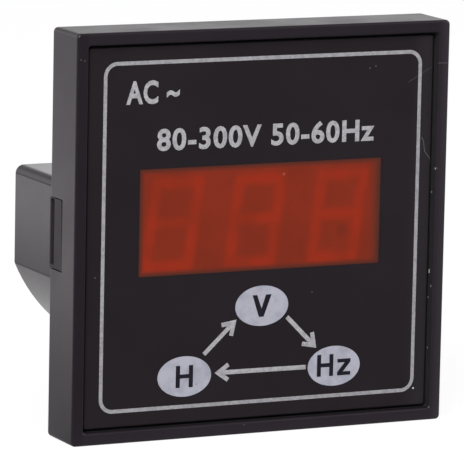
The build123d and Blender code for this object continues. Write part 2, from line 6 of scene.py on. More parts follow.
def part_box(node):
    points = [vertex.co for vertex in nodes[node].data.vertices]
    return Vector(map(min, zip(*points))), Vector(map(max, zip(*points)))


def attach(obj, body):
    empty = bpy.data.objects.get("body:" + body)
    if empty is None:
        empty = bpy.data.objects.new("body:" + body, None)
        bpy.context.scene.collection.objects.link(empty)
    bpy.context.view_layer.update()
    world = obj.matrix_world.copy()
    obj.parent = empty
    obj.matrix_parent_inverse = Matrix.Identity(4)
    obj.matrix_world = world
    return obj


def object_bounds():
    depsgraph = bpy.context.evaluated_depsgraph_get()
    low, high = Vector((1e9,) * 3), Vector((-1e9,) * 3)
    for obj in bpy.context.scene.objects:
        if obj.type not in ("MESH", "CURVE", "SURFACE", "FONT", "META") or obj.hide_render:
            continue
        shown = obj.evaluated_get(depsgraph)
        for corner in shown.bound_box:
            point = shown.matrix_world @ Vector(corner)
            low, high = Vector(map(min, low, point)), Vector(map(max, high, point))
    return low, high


# Looks of a square digital panel meter. Lengths are in metres, in the frame of the CAD model:
# X is to the right, Z is up, Y runs from the front to the back.

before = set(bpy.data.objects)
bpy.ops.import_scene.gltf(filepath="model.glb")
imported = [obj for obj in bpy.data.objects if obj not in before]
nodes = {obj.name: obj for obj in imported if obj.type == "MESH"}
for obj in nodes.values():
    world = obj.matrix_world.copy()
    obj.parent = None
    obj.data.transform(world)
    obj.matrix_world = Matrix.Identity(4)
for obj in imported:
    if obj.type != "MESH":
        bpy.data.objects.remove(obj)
cad_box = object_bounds()

mm = 0.001
front_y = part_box("front_frame")[0].y
plate_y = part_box("face_plate")[0].y
floor_gap = 0.01 * mm
floor_z = cad_box[0].z - floor_gap

# Camera, fitted to the photograph
aim = Vector((-3.81 * mm, front_y, 0.355 * mm))
camera_azimuth = math.radians(-25.71)
camera_elevation = math.radians(9.40)
camera_roll = math.radians(1.18)
camera_distance = 0.5267
camera_lens = 375.17
camera_sensor = 36.0

# Studio lights
key_place = Vector((-0.42, -0.50, 0.55))
key_side = 0.45
key_power = 5.2
fill_place = Vector((0.60, -0.30, 0.35))
fill_side = 0.50
fill_power = 1.2

# Surroundings: levels, and the parts of a direction between which they change for gloss rays
diffuse_level = 0.40
dark_front_level = 0.17
bright_back_level = 1.0
dark_above_share = 0.25
dark_until_y = -0.5
bright_from_y = 0.3
bright_until_z = 0.22
dark_from_z = 0.50

# Floor: size and colour, the levels that gloss rays find, and the places X where they change
floor_side = 4.0
floor_colour = (0.8, 0.8, 0.8)
floor_shadow_share = 0.18
floor_white = 1.10
floor_change_y = 0.02
beside_floor_level = 1.48
near_floor_level = 0.46
far_floor_level = 0.54
under_floor_level = 0.86
far_floor_x = -0.110
beside_floor_x = -0.085
near_floor_x = -0.035
under_floor_from_x = -0.028
under_floor_to_x = -0.020

# Parts of a noise between which a cloud goes from nought to one
wide_band = (0.3, 0.7)
narrow_band = (0.35, 0.65)
stain_band = (0.35, 0.75)
lacquer_band = (0.35, 0.7)
segment_band = (0.35, 0.6)
fleck_band = (0.55, 0.8)

# Black plastic outside: its gloss is a little purple, and the ears of the case are matt
outside_tint = (1.0, 0.80, 0.98)
frame_tones = ((0.0138, 0.0112, 0.0145), (0.0163, 0.0134, 0.0167))
frame_roughness = (0.31, 0.37)
frame_specular = 0.54
plate_tones = ((0.0095, 0.0080, 0.0092), (0.0120, 0.0101, 0.0116))
plate_roughness = (0.42, 0.48)
case_tones = ((0.0195, 0.0155, 0.0195), (0.0240, 0.0195, 0.0240))
case_roughness = (0.15, 0.20)
case_specular = 0.36
ear_start = 19.5 * mm
ear_tone = (0.034, 0.030, 0.034)
ear_extra_roughness = 0.42

# Prints and lenses
silver_tones = ((0.305, 0.295, 0.315), (0.46, 0.45, 0.48))
silver_line_tones = ((0.26, 0.25, 0.27), (0.39, 0.38, 0.41))
silver_roughness = (0.5, 0.7)
dark_ink_tones = ((0.009, 0.007, 0.014), (0.014, 0.011, 0.021))
lens_tones = ((0.365, 0.365, 0.435), (0.45, 0.45, 0.525))

# Red window, darker towards its right side, with painted shade along its edges, whose flange lies
# hidden behind the plate
window_tones = ((0.210, 0.019, 0.004), (0.240, 0.021, 0.005))
window_right_tone = (0.125, 0.024, 0.011)
window_right_from = 2.4 * mm
window_right_to = 1.0 * mm
window_flange = 0.9 * mm
window_edge_shade_reach = 0.75 * mm
window_edge_shade_tone = (0.090, 0.020, 0.012)
segment_tone = (0.315, 0.020, 0.003)

# Unlit digits seen through the window, moved aside because they lie behind it
digit_stroke = 0.9 * mm
digit_half_width = 2.50 * mm
digit_slant = math.tan(math.radians(7.5))
digit_moved_x = -0.67 * mm
digit_moved_z = 0.22 * mm
digit_bar_z = 0.20 * mm
digit_blur_from = 0.1 * mm
digit_blur_to = 1.1 * mm

# Lettering on the face: left edge, right edge, baseline and cap height
ink_proud = 0.02 * mm
sign_left = -16.4 * mm
sign_right = -10.07 * mm
sign_base = 14.5 * mm
sign_cap = 2.6 * mm
sign_weight = 0.032
range_left = -12.67 * mm
range_right = 13.67 * mm
range_base = 9.3 * mm
range_cap = 2.5 * mm
range_weight = 0.028
letter_spacing = 1.10
letter_curve_steps = 4

# Letters on the lenses
letter_cap = 2.45 * mm
letter_widths = {"V": 2.30 * mm, "H": 2.07 * mm}
hertz_capital = (-2.08 * mm, -0.08 * mm)
hertz_small = (0.44 * mm, 2.05 * mm)
hertz_small_height = 1.85 * mm
hertz_raised = 0.11 * mm

# Outlines of the letters on the lenses, as shares of their width and height
outline_v = [(0, 1), (0.24, 1), (0.485, 0.37), (0.71, 1), (1, 1), (0.60, 0), (0.35, 0)]
outline_h = [(0, 1), (0.24, 1), (0.24, 0.60), (0.76, 0.60), (0.76, 1), (1, 1),
             (1, 0), (0.76, 0), (0.76, 0.42), (0.24, 0.42), (0.24, 0), (0, 0)]
outline_z = [(0, 1), (1, 1), (1, 0.80), (0.42, 0.22), (1, 0.22), (1, 0),
             (0, 0), (0, 0.20), (0.57, 0.78), (0, 0.78)]

# Wear that the photograph shows, as places X and Z on the front in millimetres
hairline = [(19.62, 9.43), (19.86, 8.96), (20.03, 7.81), (20.75, 6.95), (20.82, 6.3)]
plate_scratch = [(17.77, 15.65), (20.53, 17.19)]
rim_scratch = [(21.15, 17.74), (22.25, 17.73)]
plate_specks = [(13.69, 17.61), (12.96, 17.42), (6.47, -7.23), (-19.74, -4.16)]
bright_plate_specks = [(19.38, -18.89)]
rim_specks = [(-1.86, -21.45), (-21.63, 19.58), (-22.09, 19.71), (21.3, 5.98)]
window_stain = (9.87, -0.48)
window_speck = (2.7, 6.11)
lens_speck = (-7.45, -16.63)

# Wear off the front in millimetres: X, Y, Z on the skirt, and Y, Z on the right wall of the recess
skirt_speck = (-22.5, -0.32, 8.94)
recess_wall_x = 21.1
faint_wall_specks = [(-6.65, 5.93), (-5.98, 3.19), (-6.43, -7.35), (-5.80, -8.72), (-6.0, -14.41)]
bright_wall_specks = [(-5.95, -5.62), (-5.95, -5.84)]

# How far a scratch, a speck and the stain reach, in metres
scratch_reach = 0.07 * mm
wide_scratch_reach = 0.105 * mm
speck_reach = 0.11 * mm
bright_speck_reach = 0.132 * mm
wall_speck_reach = 0.154 * mm
window_speck_reach = 0.22 * mm
stain_reach = 0.9 * mm

# Tones of dust and stains, and how strongly each mark shows
dust_tone = (0.20, 0.19, 0.20)
bright_dust_tone = (0.80, 0.79, 0.77)
window_speck_tone = (0.35, 0.12, 0.09)
window_stain_tone = (0.13, 0.016, 0.006)
lens_speck_tone = (0.05, 0.05, 0.06)
hairline_strength = 0.60
plate_scratch_strength = 0.16
plate_speck_strength = 0.45
bright_plate_speck_strength = 0.8
rim_mark_strength = 0.35
faint_wall_speck_strength = 0.35
bright_wall_speck_strength = 1.0
window_speck_strength = 0.5
window_stain_strength = 0.35
lens_speck_strength = 0.6

# Painted light on the right wall of the recess, between its edge and the plate
wall_painted_light_tone = (0.032, 0.030, 0.031)
wall_painted_light_half = 0.1 * mm
wall_painted_light_from = (front_y + 0.2 * mm, front_y + 0.3 * mm)
wall_painted_light_to = (plate_y - 0.1 * mm, plate_y + 0.2 * mm)

# Painted light in the gap round the plate and on the plate's sides, painted light that makes the
# right edge of the rim and of the plate paler, and painted shade on the left of the rim
plate_side_light_tone = (0.085, 0.080, 0.085)
plate_side_depth = 0.02 * mm
gap_painted_light_tone = (0.045, 0.042, 0.045)
gap_half = 21.3 * mm
gap_start = plate_y - 0.03 * mm
gap_end = plate_y + 0.17 * mm
rim_reach = 0.3 * mm
rim_left_shade_tone = (0.0118, 0.0092, 0.0120)
rim_left_from = -20.9 * mm
rim_left_to = -21.4 * mm
rim_right_light_tone = (0.031, 0.027, 0.031)
rim_right_from = 20.9 * mm
rim_right_to = 22.5 * mm
plate_right_light_tone = (0.0185, 0.0165, 0.0180)
plate_right_from = 17.5 * mm
plate_right_to = 20.5 * mm

# Metals: the colour, the colour of its stains, the least and greatest roughness, and drawing marks
terminal_tin = ((0.62, 0.60, 0.55), (0.48, 0.45, 0.38), (0.22, 0.42))
screw_steel = ((0.55, 0.55, 0.56), (0.42, 0.42, 0.44), (0.25, 0.4))
can_steel = ((0.72, 0.72, 0.73), (0.60, 0.60, 0.62), (0.2, 0.35))
pin_gold = ((0.80, 0.58, 0.26), (0.66, 0.46, 0.20), (0.2, 0.35))
terminal_marks = (6, 0.6, 6)
can_marks = (8, 1, 1)

# Tinned leads, which reach past the body of a chip or of a resistor
lead_tone = (0.62, 0.61, 0.58)
chip_lead_reach = 1.2 * mm
resistor_body_half = 3.16 * mm

# Mouldings inside: two tones, and the least and greatest roughness
display_grey = (((0.085, 0.085, 0.090), (0.11, 0.11, 0.115)), (0.45, 0.6))
header_black = (((0.012, 0.012, 0.012), (0.020, 0.020, 0.020)), (0.45, 0.6))
epoxy_black = (((0.022, 0.022, 0.023), (0.034, 0.034, 0.035)), (0.5, 0.65))

# Lacquers and resins: two tones, the roughness and the size of their clouds
segment_resin = (((0.74, 0.73, 0.70), (0.66, 0.65, 0.61)), 0.4, 0.8 * mm)
led_white = (((0.82, 0.76, 0.45), (0.70, 0.62, 0.30)), 0.3, 0.3 * mm)
film_yellow = (((0.76, 0.50, 0.06), (0.66, 0.42, 0.05)), 0.4, 1.5 * mm)
sleeve_blue = (((0.02, 0.045, 0.19), (0.03, 0.06, 0.24)), 0.3, 1.5 * mm)
varistor_blue = (((0.04, 0.13, 0.42), (0.03, 0.10, 0.34)), 0.4, 0.9 * mm)
resistor_beige = (((0.62, 0.47, 0.30), (0.54, 0.40, 0.25)), 0.3, 1.5 * mm)

# Circuit boards
mask_tones = ((0.010, 0.085, 0.030), (0.014, 0.110, 0.042))
track_tone = (0.030, 0.190, 0.070)
track_pitch = 1.27 * mm
track_width_share = 0.32
track_step = 4 * track_pitch
track_shift_share = 0.37

# Resistors: places of the colour bands along X from the middle, and their tones
resistor_bands = [
    (-2.3 * mm, (0.10, 0.03, 0.01)),
    (-1.2 * mm, (0.01, 0.01, 0.01)),
    (-0.4 * mm, (0.02, 0.02, 0.02)),
    (0.4 * mm, (0.75, 0.20, 0.02)),
    (2.3 * mm, (0.30, 0.06, 0.02)),
]
band_half = 0.25 * mm

# Ends of the names of the lenses, and of the lamps behind them
lamps = ("volts", "hours", "hertz")


class Finish:
    """One node material, with short names for the nodes that the finishes share."""

    def __init__(self, name):
        self.material = bpy.data.materials.new(name)
        self.material.use_nodes = True
        self.tree = self.material.node_tree
        self.tree.nodes.clear()
        self.output = self.tree.nodes.new("ShaderNodeOutputMaterial")
        self.shader = self.tree.nodes.new("ShaderNodeBsdfPrincipled")
        self.tree.links.new(self.shader.outputs["BSDF"], self.output.inputs["Surface"])
        self.place = self.tree.nodes.new("ShaderNodeTexCoord").outputs["Object"]
        self.height = None

    def set(self, **values):
        """Gives values or sockets to inputs of the shader, by their names."""
        for name, value in values.items():
            self.put(self.shader.inputs[name.replace("_", " ")], value)

    def put(self, socket, value):
        if isinstance(value, bpy.types.NodeSocket):
            self.tree.links.new(value, socket)
        elif isinstance(value, tuple) and len(value) == 3 and socket.type == "RGBA":
            socket.default_value = (*value, 1.0)
        else:
            socket.default_value = value

    def source(self, name):
        """What already feeds an input of the shader."""
        return self.shader.inputs[name].links[0].from_socket

    def math(self, operation, first, second=0.0, third=0.0):
        node = self.tree.nodes.new("ShaderNodeMath")
        node.operation = operation
        for socket, value in zip(node.inputs, (first, second, third)):
            self.put(socket, value)
        return node.outputs[0]

    def length(self, first, second):
        squares = [self.math("POWER", value, 2.0) for value in (first, second)]
        return self.math("SQRT", self.math("ADD", *squares))

    def inverse(self, mask):
        return self.math("SUBTRACT", 1.0, mask)

    def at_places(self, places, reach):
        """One at each of the places, fading to nought at the reach."""
        found = 0.0
        for place in places:
            node = self.tree.nodes.new("ShaderNodeVectorMath")
            node.operation = "DISTANCE"
            self.put(node.inputs[0], self.place)
            node.inputs[1].default_value = place
            spot = self.span(node.outputs["Value"], 1.0, 0.0, reach / 2, reach)
            found = self.math("MAXIMUM", found, spot)
        return found

    def along_line(self, points, reach):
        """One on a line through points X, Z, fading to nought at the reach."""
        found = 0.0
        for (x, z), (end_x, end_z) in zip(points, points[1:]):
            run_x, run_z = end_x - x, end_z - z
            off_x = self.math("SUBTRACT", self.axis("X"), x)
            off_z = self.math("SUBTRACT", self.axis("Z"), z)
            along_x = self.math("MULTIPLY", off_x, run_x)
            along_z = self.math("MULTIPLY", off_z, run_z)
            along = self.math("ADD", along_x, along_z)
            share = self.math("DIVIDE", along, run_x ** 2 + run_z ** 2)
            share = self.math("MINIMUM", self.math("MAXIMUM", share, 0.0), 1.0)
            away = self.length(self.math("SUBTRACT", off_x, self.math("MULTIPLY", share, run_x)),
                               self.math("SUBTRACT", off_z, self.math("MULTIPLY", share, run_z)))
            found = self.math("MAXIMUM", found, self.span(away, 1.0, 0.0, 0.0, reach))
        return found

    def rougher(self, mask, extra):
        """Adds to the roughness where the mask is one."""
        added = self.math("MULTIPLY", mask, extra)
        self.set(Roughness=self.math("ADD", self.source("Roughness"), added))

    def mark(self, mask, strength, tone):
        """Mixes a tone into the colour where the mask is one."""
        share = self.math("MULTIPLY", mask, strength)
        self.set(Base_Color=self.mix(share, self.source("Base Color"), tone))

    def stretched(self, factors):
        node = self.tree.nodes.new("ShaderNodeMapping")
        self.put(node.inputs["Vector"], self.place)
        node.inputs["Scale"].default_value = factors
        return node.outputs[0]

    def noise(self, grain, detail, roughness=0.5, place=None):
        """Noise with blobs about one grain across."""
        node = self.tree.nodes.new("ShaderNodeTexNoise")
        self.put(node.inputs["Vector"], place or self.place)
        node.inputs["Scale"].default_value = 1 / grain
        node.inputs["Detail"].default_value = detail
        node.inputs["Roughness"].default_value = roughness
        return node.outputs["Fac"]

    def cloud(self, grain, band, detail=3, roughness=0.5):
        """Noise spread so that it is nought below a band and one above it."""
        return self.span(self.noise(grain, detail, roughness), 0.0, 1.0, *band)

    def span(self, value, low, high, from_low=0.0, from_high=1.0):
        """Value mapped smoothly from one range to another."""
        node = self.tree.nodes.new("ShaderNodeMapRange")
        node.interpolation_type = "SMOOTHSTEP"
        for socket, number in zip(node.inputs, (value, from_low, from_high, low, high)):
            self.put(socket, number)
        return node.outputs[0]

    def mix(self, share, first, second):
        """Mix of two colours. The colour inputs of the node are 6 and 7, its colour output is 2."""
        node = self.tree.nodes.new("ShaderNodeMix")
        node.data_type = "RGBA"
        self.put(node.inputs["Factor"], share)
        self.put(node.inputs[6], first)
        self.put(node.inputs[7], second)
        return node.outputs[2]

    def axis(self, name):
        node = self.tree.nodes.new("ShaderNodeSeparateXYZ")
        self.put(node.inputs[0], self.place)
        return node.outputs[name]

    def beyond(self, name, centre, half):
        """One where the place is further than half from the centre along an axis, else nought."""
        away = self.math("ABSOLUTE", self.math("SUBTRACT", self.axis(name), centre))
        return self.math("GREATER_THAN", away, half)

    def beyond_square(self, half):
        """One outside a square about the middle of the front, else nought."""
        return self.math("MAXIMUM", self.beyond("X", 0.0, half), self.beyond("Z", 0.0, half))

    def bump(self, height, depth, strength):
        """Adds fine relief on top of the relief given before."""
        node = self.tree.nodes.new("ShaderNodeBump")
        self.put(node.inputs["Height"], height)
        node.inputs["Distance"].default_value = depth
        node.inputs["Strength"].default_value = strength
        if self.height is not None:
            self.put(node.inputs["Normal"], self.height)
        self.height = node.outputs[0]
        self.put(self.shader.inputs["Normal"], self.height)


def moulded(name, tones, roughness, gloss_tint=(1.0, 1.0, 1.0)):
    """Moulded plastic: cloudy colour, uneven gloss and a fine spark-eroded grain."""
    cloud_grain = 14 * mm
    fleck_grain = 0.3 * mm
    fleck_share = 0.25
    gloss_grain = 5 * mm
    skin_grain = 0.12 * mm
    skin_depth = 0.004 * mm
    wave_grain = 12 * mm
    wave_depth = 0.02 * mm
    colour, lighter = tones
    finish = Finish(name)
    cloud = finish.cloud(cloud_grain, wide_band)
    fleck = finish.span(finish.noise(fleck_grain, detail=2), 0.0, fleck_share, *fleck_band)
    tone = finish.mix(cloud, colour, lighter)
    finish.set(Base_Color=finish.mix(fleck, tone, lighter))
    finish.set(Roughness=finish.span(finish.noise(gloss_grain, detail=4), *roughness, *wide_band))
    finish.set(IOR=1.5, Specular_Tint=gloss_tint)
    finish.bump(finish.noise(skin_grain, detail=2), skin_depth, strength=0.6)
    finish.bump(finish.noise(wave_grain, detail=1), wave_depth, strength=0.15)
    return finish


def silver_ink(name, tones):
    """Screen print in silver grey, slightly mottled."""
    mottle_grain = 0.35 * mm
    print_grain = 0.15 * mm
    print_depth = 0.01 * mm
    finish = Finish(name)
    mottle = finish.cloud(mottle_grain, wide_band, detail=4, roughness=0.7)
    finish.set(Base_Color=finish.mix(mottle, *tones))
    finish.set(Roughness=finish.span(mottle, *silver_roughness), IOR=1.45)
    finish.bump(finish.noise(print_grain, detail=3), print_depth, strength=0.5)
    return finish


def dark_ink():
    """Screen print in matt blue-black, slightly mottled."""
    mottle_grain = 0.4 * mm
    finish = Finish("dark_ink")
    mottle = finish.cloud(mottle_grain, narrow_band)
    finish.set(Base_Color=finish.mix(mottle, *dark_ink_tones))
    finish.set(Roughness=0.6, IOR=1.45, Specular_IOR_Level=0.25)
    return finish


def lens_pale():
    """Frosted acrylic, a little bluish, with faint clouds."""
    cloud_grain = 1.6 * mm
    frost_grain = 0.2 * mm
    frost_depth = 0.003 * mm
    light_depth = 0.4 * mm
    finish = Finish("lens_pale")
    cloud = finish.cloud(cloud_grain, narrow_band, detail=4, roughness=0.6)
    finish.set(Base_Color=finish.mix(cloud, *lens_tones))
    finish.set(Roughness=0.45, IOR=1.49, Subsurface_Weight=0.15, Subsurface_Scale=light_depth)
    finish.bump(finish.noise(frost_grain, detail=2), frost_depth, strength=0.5)
    return finish


def digit_distance(finish):
    """Distance to the nearest segment behind the window, from the places of the digit solids."""
    lows, highs = zip(*[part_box("digit_segments_" + str(index)) for index in (1, 2, 3)])
    pitch = lows[1].x - lows[0].x
    middle_z = (lows[0].z + highs[0].z) / 2
    half_height = (highs[0].z - lows[0].z) / 2 - digit_stroke / 2
    upright = finish.math("SUBTRACT", finish.axis("Z"), middle_z + digit_moved_z)
    lean = finish.math("MULTIPLY", upright, digit_slant)
    across = finish.math("SUBTRACT", finish.math("SUBTRACT", finish.axis("X"), lean), digit_moved_x)
    folded = finish.math("ABSOLUTE", finish.math("WRAP", across, pitch / 2, -pitch / 2))
    raised = finish.math("ABSOLUTE", upright)
    from_side = finish.math("SUBTRACT", folded, digit_half_width)
    from_end = finish.math("SUBTRACT", raised, half_height)
    from_bar = finish.math("SUBTRACT", upright, digit_bar_z)
    past_side = finish.math("MAXIMUM", from_side, 0.0)
    past_end = finish.math("MAXIMUM", from_end, 0.0)
    uprights = finish.length(from_side, past_end)
    end_bars = finish.length(past_side, from_end)
    middle_bar = finish.length(past_side, from_bar)
    return finish.math("MINIMUM", finish.math("MINIMUM", uprights, end_bars), middle_bar)


def edge_distance(finish, axis, low, high):
    """Distance to the nearer of two edges along an axis."""
    place = finish.axis(axis)
    from_low = finish.math("SUBTRACT", place, low)
    from_high = finish.math("SUBTRACT", high, place)
    return finish.math("MINIMUM", from_low, from_high)


def window_red():
    """Red filter with a matt face, through which the unlit digits show faintly and out of focus."""
    cloud_grain = 4 * mm
    uneven_grain = 3.5 * mm
    least_segment = 0.45
    matt_grain = 0.1 * mm
    matt_depth = 0.003 * mm
    finish = Finish("window_red")
    low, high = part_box("display_window")
    red = finish.mix(finish.cloud(cloud_grain, wide_band), *window_tones)
    uneven = finish.span(finish.noise(uneven_grain, detail=2), least_segment, 1.0, *segment_band)
    segment = finish.span(digit_distance(finish), 1.0, 0.0, digit_blur_from, digit_blur_to)
    red = finish.mix(finish.math("MULTIPLY", segment, uneven), red, segment_tone)
    right_from = high.x - window_right_from
    right_to = high.x - window_right_to
    side = finish.span(finish.axis("X"), 0.0, 1.0, right_from, right_to)
    red = finish.mix(side, red, window_right_tone)
    # Painted shade along the visible edges of the window, inside the plate's opening
    inside = finish.math("MINIMUM", edge_distance(finish, "X", low.x, high.x),
                         edge_distance(finish, "Z", low.z, high.z))
    inside = finish.math("SUBTRACT", inside, window_flange)
    edge = finish.span(inside, 1.0, 0.0, 0.0, window_edge_shade_reach)
    red = finish.mix(edge, red, window_edge_shade_tone)
    finish.set(Base_Color=red, Roughness=0.5, IOR=1.45, Specular_IOR_Level=0.25)
    finish.bump(finish.noise(matt_grain, detail=2), matt_depth, strength=0.6)
    return finish


def metal(name, tones_and_roughness, marks=(1, 1, 1)):
    """Bare or plated metal with drawing marks, which the three factors squeeze along X, Y and Z."""
    mark_grain = 0.25 * mm
    mark_depth = 0.004 * mm
    stain_grain = 3 * mm
    colour, darker, roughness = tones_and_roughness
    finish = Finish(name)
    lines = finish.noise(mark_grain, detail=4, roughness=0.6, place=finish.stretched(marks))
    stain = finish.cloud(stain_grain, stain_band, detail=4)
    finish.set(Base_Color=finish.mix(stain, colour, darker), Metallic=1.0)
    finish.set(Roughness=finish.span(lines, *roughness, *wide_band))
    finish.bump(lines, mark_depth, strength=0.5)
    return finish


def with_leads(finish, outside):
    """The same finish with bare tinned leads where the mask outside is one."""
    body = finish.source("Base Color")
    finish.set(Base_Color=finish.mix(outside, body, lead_tone), Metallic=outside)
    return finish


def glossy_part(name, values):
    """Lacquer or resin with clouds in its colour and a fine relief."""
    relief_depth = 0.01 * mm
    tones, roughness, blob = values
    finish = Finish(name)
    cloud = finish.cloud(blob, lacquer_band, detail=4)
    finish.set(Base_Color=finish.mix(cloud, *tones), Roughness=roughness, IOR=1.5)
    finish.bump(finish.noise(blob / 3, detail=3), relief_depth, strength=0.4)
    return finish


def circuit_board(name, first, second):
    """Solder mask over copper tracks: the tracks run in steps along two axes of the board."""
    patch_grain = 5 * mm
    mask_grain = 3 * mm
    track_height = 0.03 * mm
    finish = Finish(name)
    lanes = []
    for along, across in ((first, second), (second, first)):
        step = finish.math("SNAP", finish.axis(along), track_step)
        shift = finish.math("MULTIPLY", step, track_shift_share)
        lane = finish.math("ADD", finish.axis(across), shift)
        part = finish.math("FRACT", finish.math("DIVIDE", lane, track_pitch))
        off_middle = finish.math("ABSOLUTE", finish.math("SUBTRACT", part, 0.5))
        patch = finish.math("GREATER_THAN", finish.noise(patch_grain, detail=1), 0.5)
        track = finish.math("LESS_THAN", off_middle, track_width_share / 2)
        lanes.append(finish.math("MULTIPLY", track, patch))
    tracks = finish.math("MAXIMUM", *lanes)
    mask = finish.mix(finish.noise(mask_grain, detail=3), *mask_tones)
    finish.set(Base_Color=finish.mix(tracks, mask, track_tone), Roughness=0.32, IOR=1.5)
    finish.bump(tracks, track_height, strength=0.8)
    return finish


def banded_resistor():
    """Beige lacquer with five colour bands along X, and tinned leads past the end caps."""
    finish = glossy_part("resistor_beige", resistor_beige)
    low, high = (corner.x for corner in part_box("divider_resistors"))
    middle = (low + high) / 2
    for place, tone in resistor_bands:
        inside = finish.inverse(finish.beyond("X", middle + place, band_half))
        finish.set(Base_Color=finish.mix(inside, finish.source("Base Color"), tone))
    return with_leads(finish, finish.beyond("X", middle, resistor_body_half))


def chip_black(name, node, axis):
    """Moulded epoxy package with tinned legs at both sides."""
    finish = moulded(name, *epoxy_black)
    low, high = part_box(node)
    place = "XYZ".index(axis)
    centre = (low[place] + high[place]) / 2
    half = (high[place] - low[place]) / 2 - chip_lead_reach
    return with_leads(finish, finish.beyond(axis, centre, half))


def stub_leads(finish, board_z):
    """Leads of a part below the power board are bare above the board's lower face."""
    return with_leads(finish, finish.math("GREATER_THAN", finish.axis("Z"), board_z))


def dress(material, *names):
    """Gives a material to CAD nodes or pieces."""
    for name in names:
        thing = nodes.get(name) or bpy.data.objects[name]
        data = thing.data
        if not data.materials:
            data.materials.append(material)
        for index in range(len(thing.material_slots)):
            thing.material_slots[index].link = "OBJECT"
            thing.material_slots[index].material = material


def add_object(name, data):
    thing = bpy.data.objects.new(name, data)
    bpy.context.scene.collection.objects.link(thing)
    return thing


def ellipse_centre(name):
    low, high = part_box("indicator_lens_" + name)
    return (low + high) / 2


def word_mesh(name, words, weight):
    """Words in Blender's own font, with one side above and one side below their plane."""
    curve = bpy.data.curves.new(name, "FONT")
    curve.body = words
    curve.space_character = letter_spacing
    curve.offset = weight
    curve.extrude = 1.0
    curve.resolution_u = letter_curve_steps
    source = add_object(name + "_source", curve)
    bpy.context.view_layer.update()
    view = bpy.context.evaluated_depsgraph_get()
    mesh = bpy.data.meshes.new_from_object(source.evaluated_get(view))
    bpy.data.objects.remove(source)
    mesh.name = name
    mesh.materials.clear()
    return mesh


def lettering(name, words, left, right, base, height, weight, ink):
    """Words as a thin layer of ink on the face, fitted between two edges and to a height."""
    mesh = word_mesh(name, words, weight)
    xs = [vertex.co.x for vertex in mesh.vertices]
    ys = [vertex.co.y for vertex in mesh.vertices]
    wide = (right - left) / (max(xs) - min(xs))
    tall = height / (max(ys) - min(ys))
    for vertex in mesh.vertices:
        x, y, z = vertex.co
        layer = plate_y - ink_proud * (z > 0)
        vertex.co = (left + (x - min(xs)) * wide, layer, base + (y - min(ys)) * tall)
    ink_piece(name, mesh, ink)


def drawn_letter(name, outline, left, right, base, height, ink):
    """One letter as a thin layer of ink, from its outline."""
    count = len(outline)
    corners = []
    for layer in (plate_y - ink_proud, plate_y):
        corners += [(left + x * (right - left), layer, base + z * height) for x, z in outline]
    faces = [tuple(reversed(range(count))), tuple(range(count, 2 * count))]
    for index in range(count):
        after = (index + 1) % count
        faces.append((index, after, after + count, index + count))
    mesh = bpy.data.meshes.new(name)
    mesh.from_pydata(corners, [], faces)
    ink_piece(name, mesh, ink)


def ink_piece(name, mesh, ink):
    piece = add_object(name, mesh)
    dress(ink, name)
    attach(piece, "root")


def make_words(silver):
    """A plain sign and a plain range stand in for the words and the type number on the real face."""
    lettering("print_sign", "AC ~", sign_left, sign_right, sign_base, sign_cap, sign_weight,
              silver)
    lettering("print_range", "80-300V 50-60Hz", range_left, range_right, range_base, range_cap,
              range_weight, silver)


def make_units(dark):
    """Unit letters on the lenses: V and H alone, and Hz as a capital and a small letter."""
    for word, lens, outline in (("V", "volts", outline_v), ("H", "hours", outline_h)):
        centre = ellipse_centre(lens)
        half = letter_widths[word] / 2
        drawn_letter("print_letter_" + word, outline, centre.x - half, centre.x + half,
                     centre.z - letter_cap / 2, letter_cap, dark)
    centre = ellipse_centre("hertz")
    base = centre.z - letter_cap / 2 + hertz_raised
    for word, outline, (left, right), height in (
        ("H", outline_h, hertz_capital, letter_cap),
        ("z", outline_z, hertz_small, hertz_small_height),
    ):
        drawn_letter("print_hertz_" + word, outline, centre.x + left, centre.x + right, base, height,
                     dark)


def make_camera():
    level = math.cos(camera_elevation)
    back = Vector((math.sin(camera_azimuth) * level, -math.cos(camera_azimuth) * level,
                   math.sin(camera_elevation)))
    right = (-back).cross(Vector((0, 0, 1))).normalized()
    up = back.cross(right)
    rolled_right = right * math.cos(camera_roll) + up * math.sin(camera_roll)
    rolled_up = up * math.cos(camera_roll) - right * math.sin(camera_roll)
    data = bpy.data.cameras.new("photo_camera")
    data.lens = camera_lens
    data.sensor_width = camera_sensor
    camera = add_object("photo_camera", data)
    turn = Matrix((rolled_right, rolled_up, back)).transposed().to_4x4()
    camera.matrix_world = Matrix.Translation(aim + back * camera_distance) @ turn
    bpy.context.scene.camera = camera


def make_light(name, place, side, power):
    """Square soft light that faces the origin."""
    data = bpy.data.lights.new(name, "AREA")
    data.shape = "SQUARE"
    data.size = side
    data.energy = power
    light = add_object(name, data)
    light.location = place
    light.rotation_mode = "QUATERNION"
    light.rotation_quaternion = (-place).to_track_quat("-Z", "Y")


def smooth_range(tree, value, from_low, from_high):
    """Node that maps a value smoothly from one range to another."""
    node = tree.nodes.new("ShaderNodeMapRange")
    node.interpolation_type = "SMOOTHSTEP"
    tree.links.new(value, node.inputs["Value"])
    node.inputs["From Min"].default_value = from_low
    node.inputs["From Max"].default_value = from_high
    return node


def studio_strength(tree, ramp, in_view):
    """Strength: one level in view, the ramp for gloss rays, else a soft level. Also the path node."""
    path = tree.nodes.new("ShaderNodeLightPath")
    gloss = tree.nodes.new("ShaderNodeMath")
    gloss.operation = "MAXIMUM"
    tree.links.new(path.outputs["Is Glossy Ray"], gloss.inputs[0])
    tree.links.new(path.outputs["Is Transmission Ray"], gloss.inputs[1])
    soft = tree.nodes.new("ShaderNodeMix")
    soft.inputs["A"].default_value = diffuse_level
    tree.links.new(gloss.outputs[0], soft.inputs["Factor"])
    tree.links.new(ramp.outputs[0], soft.inputs["B"])
    seen = tree.nodes.new("ShaderNodeMix")
    seen.inputs["B"].default_value = in_view
    tree.links.new(path.outputs["Is Camera Ray"], seen.inputs["Factor"])
    tree.links.new(soft.outputs[0], seen.inputs["A"])
    return seen.outputs[0], path


